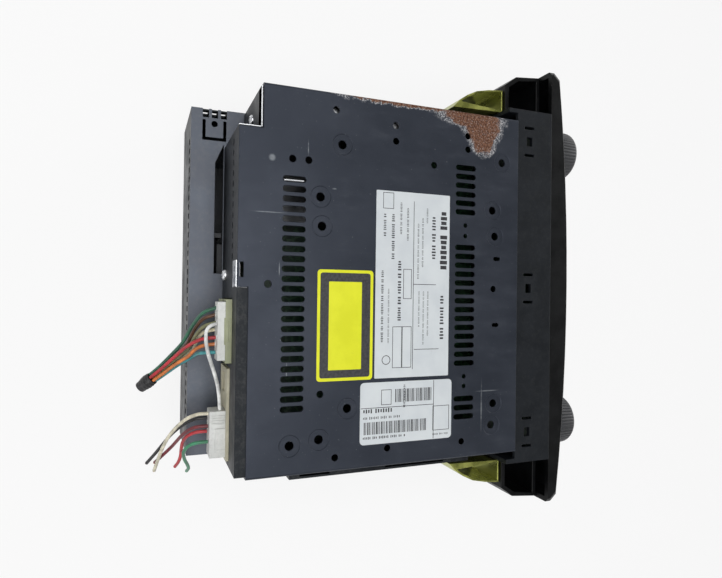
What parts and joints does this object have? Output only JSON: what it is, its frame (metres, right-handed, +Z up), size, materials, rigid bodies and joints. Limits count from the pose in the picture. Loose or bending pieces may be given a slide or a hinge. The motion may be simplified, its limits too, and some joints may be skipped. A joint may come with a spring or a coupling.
{
  "type": "car head unit",
  "caption": "Double-height car radio with a disc deck, convex fascia, turning and pressing knobs, rocker and push keys, side wings and cut-off harness wires.",
  "frame": {"origin": "in the plane of the underside, below the middle of the radio deck", "axes": "+X across the unit, towards its left as seen from behind; -Y out of the front; +Z up through the labelled cover"},
  "size_m": [0.242, 0.2426, 0.1],
  "materials": {
    "cover_paint": "satin blue-grey, rusted at one front corner",
    "ledge_paint": "satin grey",
    "case_paint": "satin near-black",
    "fascia_plastic": "black with a fine grain",
    "skirt_plastic": "dark grey, as moulded",
    "key_plastic": "soft-touch black",
    "plated_spring": "yellow-green passivated spring steel",
    "bright_steel": "bright zinc plating",
    "sink_aluminium": "extruded",
    "circuit_board": "glass-fibre board with a green mask",
    "chip_black": "moulded resin",
    "lens_plastic": "smoked and polished",
    "socket_olive": "olive nylon",
    "socket_beige": "beige nylon",
    "plug_white": "white nylon",
    "roller_rubber": "matt",
    "tape_black": "wound vinyl tape",
    "dark_green_vinyl": "wire insulation",
    "brown_vinyl": "wire insulation",
    "olive_vinyl": "wire insulation",
    "cream_vinyl": "wire insulation",
    "red_vinyl": "wire insulation",
    "orange_vinyl": "wire insulation",
    "teal_vinyl": "wire insulation",
    "black_vinyl": "wire insulation",
    "dark_red_vinyl": "wire insulation",
    "green_vinyl": "wire insulation",
    "white_vinyl": "wire insulation"
  },
  "bodies": {
    "chassis": {"lower_case": "case_paint", "deck_plate": "ledge_paint", "upper_case": "case_paint", "top_cover": "cover_paint", "side_bracket_left": "case_paint", "side_bracket_right": "case_paint", "fascia_skirt": "skirt_plastic", "fascia_panel": "fascia_plastic", "wing_left": "fascia_plastic", "wing_right": "fascia_plastic", "clip_left": "plated_spring", "clip_right": "plated_spring", "front_board": "circuit_board", "display_module": "chip_black", "display_lens": "lens_plastic", "main_board": "circuit_board", "heat_sink": "sink_aluminium", "amplifier_chip": "chip_black", "tuner_can": "bright_steel", "filter_capacitor": "chip_black", "power_socket": "socket_olive", "accessory_socket": "socket_beige", "power_plug": "plug_white", "accessory_plug": "plug_white", "mech_plate": "bright_steel", "spindle_motor": "bright_steel", "sled_rod": "bright_steel", "sled_motor": "bright_steel", "wire_green": "dark_green_vinyl", "wire_brown": "brown_vinyl", "wire_olive": "olive_vinyl", "wire_cream": "cream_vinyl", "wire_red": "red_vinyl", "wire_orange": "orange_vinyl", "wire_teal": "teal_vinyl", "stub_cream": "cream_vinyl", "stub_black": "black_vinyl", "stub_dark_red": "dark_red_vinyl", "stub_red": "red_vinyl", "stub_green": "green_vinyl", "jumper_white": "white_vinyl", "loom_tape": "tape_black"},
    "preset_rocker_1": {"preset_rocker_1": "key_plastic"},
    "preset_rocker_2": {"preset_rocker_2": "key_plastic"},
    "preset_rocker_3": {"preset_rocker_3": "key_plastic"},
    "seek_rocker": {"seek_rocker": "key_plastic"},
    "mode_key_1": {"mode_key_1": "key_plastic"},
    "mode_key_2": {"mode_key_2": "key_plastic"},
    "mode_key_3": {"mode_key_3": "key_plastic"},
    "mode_key_4": {"mode_key_4": "key_plastic"},
    "tuning_stem": {"tuning_stem": "bright_steel"},
    "tuning_knob": {"tuning_knob": "key_plastic"},
    "volume_stem": {"volume_stem": "bright_steel"},
    "volume_knob": {"volume_knob": "key_plastic"},
    "turntable": {"turntable": "chip_black"},
    "loading_roller": {"loading_roller": "roller_rubber"},
    "optical_sled": {"optical_sled": "chip_black"},
    "lead_screw": {"lead_screw": "bright_steel"},
    "clamp_arm": {"clamp_arm": "bright_steel"}
  },
  "joints": [
    {"name": "preset_rock_1", "type": "hinge", "parent": "chassis", "child": "preset_rocker_1", "pos_m": [-0.036, -0.1103, 0.052], "axis": [0, 0, 1], "range_deg": [-2.5, 2.5], "stiffness_Nm_per_rad": 0.5},
    {"name": "preset_rock_2", "type": "hinge", "parent": "chassis", "child": "preset_rocker_2", "pos_m": [0, -0.1109, 0.052], "axis": [0, 0, 1], "range_deg": [-2.5, 2.5], "stiffness_Nm_per_rad": 0.5},
    {"name": "preset_rock_3", "type": "hinge", "parent": "chassis", "child": "preset_rocker_3", "pos_m": [0.036, -0.1103, 0.052], "axis": [0, 0, 1], "range_deg": [-2.5, 2.5], "stiffness_Nm_per_rad": 0.5},
    {"name": "seek_rock", "type": "hinge", "parent": "chassis", "child": "seek_rocker", "pos_m": [0, -0.1109, 0.018], "axis": [0, 0, 1], "range_deg": [-2, 2], "stiffness_Nm_per_rad": 0.5},
    {"name": "mode_push_1", "type": "slide", "parent": "chassis", "child": "mode_key_1", "axis": [0, 1, 0], "range_m": [0, 0.0012], "stiffness_N_per_m": 800},
    {"name": "mode_push_2", "type": "slide", "parent": "chassis", "child": "mode_key_2", "axis": [0, 1, 0], "range_m": [0, 0.0012], "stiffness_N_per_m": 800},
    {"name": "mode_push_3", "type": "slide", "parent": "chassis", "child": "mode_key_3", "axis": [0, 1, 0], "range_m": [0, 0.0012], "stiffness_N_per_m": 800},
    {"name": "mode_push_4", "type": "slide", "parent": "chassis", "child": "mode_key_4", "axis": [0, 1, 0], "range_m": [0, 0.0012], "stiffness_N_per_m": 800},
    {"name": "tuning_push", "type": "slide", "parent": "chassis", "child": "tuning_stem", "axis": [0, 1, 0], "range_m": [0, 0.0012], "stiffness_N_per_m": 1200},
    {"name": "tuning_turn", "type": "hinge", "parent": "tuning_stem", "child": "tuning_knob", "pos_m": [0.08, -0.118, 0.075], "axis": [0, 1, 0], "continuous": true},
    {"name": "volume_push", "type": "slide", "parent": "chassis", "child": "volume_stem", "axis": [0, 1, 0], "range_m": [0, 0.0012], "stiffness_N_per_m": 1200},
    {"name": "volume_turn", "type": "hinge", "parent": "volume_stem", "child": "volume_knob", "pos_m": [-0.08, -0.118, 0.075], "axis": [0, 1, 0], "continuous": true},
    {"name": "turntable_spin", "type": "hinge", "parent": "chassis", "child": "turntable", "pos_m": [0, 0.004, 0.0334], "axis": [0, 0, 1], "continuous": true},
    {"name": "roller_spin", "type": "hinge", "parent": "chassis", "child": "loading_roller", "pos_m": [0, -0.058, 0.0296], "axis": [1, 0, 0], "continuous": true},
    {"name": "sled_slide", "type": "slide", "parent": "chassis", "child": "optical_sled", "axis": [0, 1, 0], "range_m": [0, 0.034]},
    {"name": "lead_screw_turn", "type": "hinge", "parent": "chassis", "child": "lead_screw", "pos_m": [0.017, 0.05, 0.0255], "axis": [0, 1, 0], "range_deg": [0, 4081]},
    {"name": "clamp_lift", "type": "hinge", "parent": "chassis", "child": "clamp_arm", "pos_m": [0, 0.08, 0.044], "axis": [-1, 0, 0], "range_deg": [0, 3.5], "stiffness_Nm_per_rad": 0.8, "springref_deg": -5.73}
  ],
  "couplings": [
    {"joint": "lead_screw_turn", "follows": "sled_slide", "rad_per_m": 2094.4}
  ]
}
